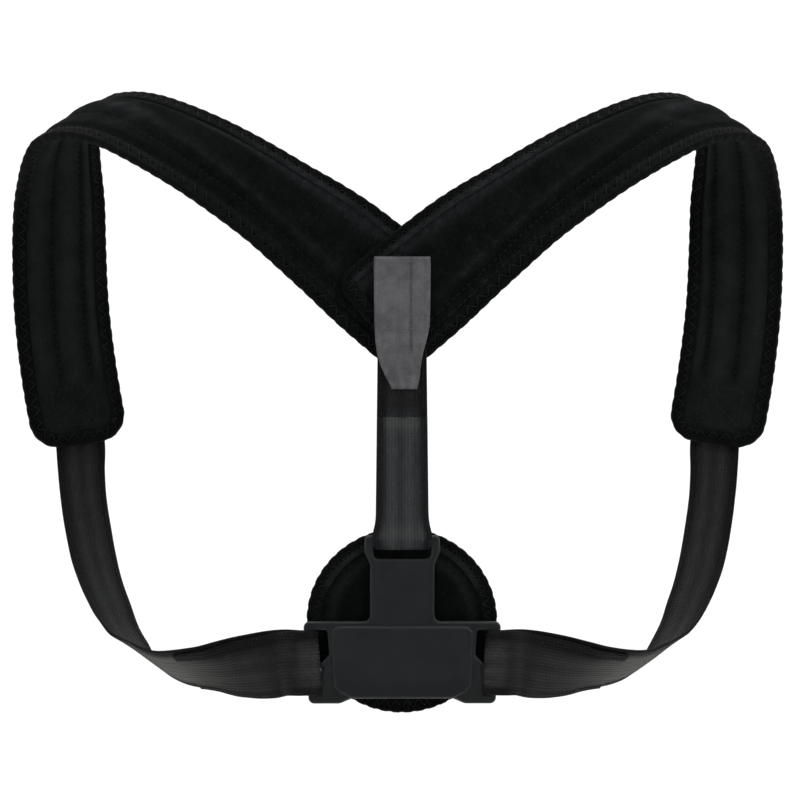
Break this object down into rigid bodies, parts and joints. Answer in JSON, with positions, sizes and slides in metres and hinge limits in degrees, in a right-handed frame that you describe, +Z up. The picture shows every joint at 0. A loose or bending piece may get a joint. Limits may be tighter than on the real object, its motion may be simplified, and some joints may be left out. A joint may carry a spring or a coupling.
{
  "type": "posture corrector",
  "caption": "Adjustable back and shoulder brace: two padded arms meet between the shoulder blades and run on as webbing to a plastic buckle on a round back pad.",
  "frame": {"origin": "midway between the two shoulders, in line with the crests of the shoulder pads", "axes": "+X to the wearer's right, +Y forwards, +Z up; the buckle and the back pad are on the -Y side"},
  "size_m": [0.4168, 0.1543, 0.318],
  "materials": {
    "pad_cloth": "black laminated loop cloth over foam, matt",
    "binding_tape": "black knitted binding tape with zigzag stitching",
    "black_webbing": "black ribbed polyester webbing",
    "grey_webbing": "charcoal grey polyester webbing with darker edges",
    "tab_cloth": "mid grey woven cloth, slightly satin",
    "buckle_plastic": "black moulded plastic, satin"
  },
  "bodies": {
    "root": {"left_shoulder_pad": "pad_cloth", "right_shoulder_pad": "pad_cloth", "left_pad_binding": "binding_tape", "right_pad_binding": "binding_tape", "left_side_strap": "black_webbing", "right_side_strap": "black_webbing", "centre_strap": "grey_webbing", "centre_tab": "tab_cloth", "back_buckle": "buckle_plastic", "back_pad": "pad_cloth", "back_pad_binding": "binding_tape"}
  },
  "joints": []
}
